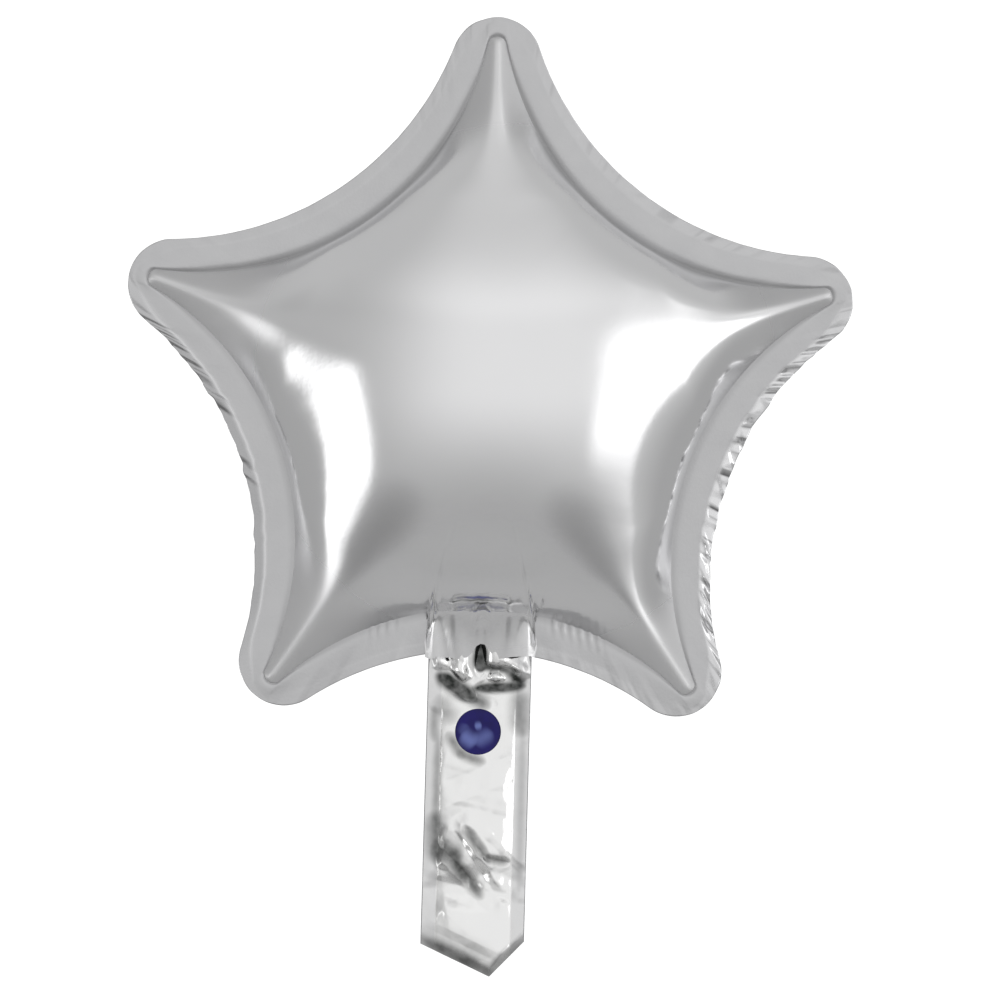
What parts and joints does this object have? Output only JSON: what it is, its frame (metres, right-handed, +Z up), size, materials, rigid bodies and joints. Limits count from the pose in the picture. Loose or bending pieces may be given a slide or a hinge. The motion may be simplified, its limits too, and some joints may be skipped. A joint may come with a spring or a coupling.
{
  "type": "star foil balloon",
  "caption": "Inflated star-shaped foil balloon with rounded points, a flat heat-sealed edge, and a flat filling tail with a self-closing film valve and a round filling hole.",
  "frame": {"origin": "middle of the neck at the tie line, on the mid-plane between the two films, where a ribbon holds the balloon", "axes": "+Z up through the star's middle to its top point, +X to the right as seen from the front, -Y towards the front"},
  "size_m": [0.2248, 0.0816, 0.297],
  "materials": {
    "foil": "smooth metallised plastic film, mirror-like with soft wrinkles",
    "sealed_foil": "heat-sealed double film, satin, finely crinkled",
    "valve_film": "clear thin polyethylene film",
    "release_coat": "dark blue heat-resistant ink, glossy"
  },
  "bodies": {
    "balloon": {"front_panel": "foil", "rear_panel": "foil", "edge_seal": "sealed_foil", "neck_front_leaf": "foil", "neck_rear_leaf": "foil", "neck_side_seals": "sealed_foil", "valve_top_front_film": "valve_film", "valve_top_rear_film": "valve_film", "valve_top_welds": "valve_film"},
    "tail": {"tail_front_leaf": "foil", "tail_rear_leaf": "foil", "tail_side_seals": "sealed_foil", "valve_front_film": "valve_film", "valve_rear_film": "valve_film", "valve_welds": "valve_film", "release_patch": "release_coat"},
    "tail_end": {"tail_end_front_leaf": "foil", "tail_end_rear_leaf": "foil", "tail_end_seal": "sealed_foil"}
  },
  "joints": [
    {"name": "neck_fold", "type": "hinge", "parent": "balloon", "child": "tail", "pos_m": [0, 0, 0], "axis": [1, 0, 0], "range_deg": [-110, 110]},
    {"name": "tail_crease", "type": "hinge", "parent": "tail", "child": "tail_end", "pos_m": [0, 0, -0.0625], "axis": [1, 0, 0], "range_deg": [-110, 110]}
  ]
}
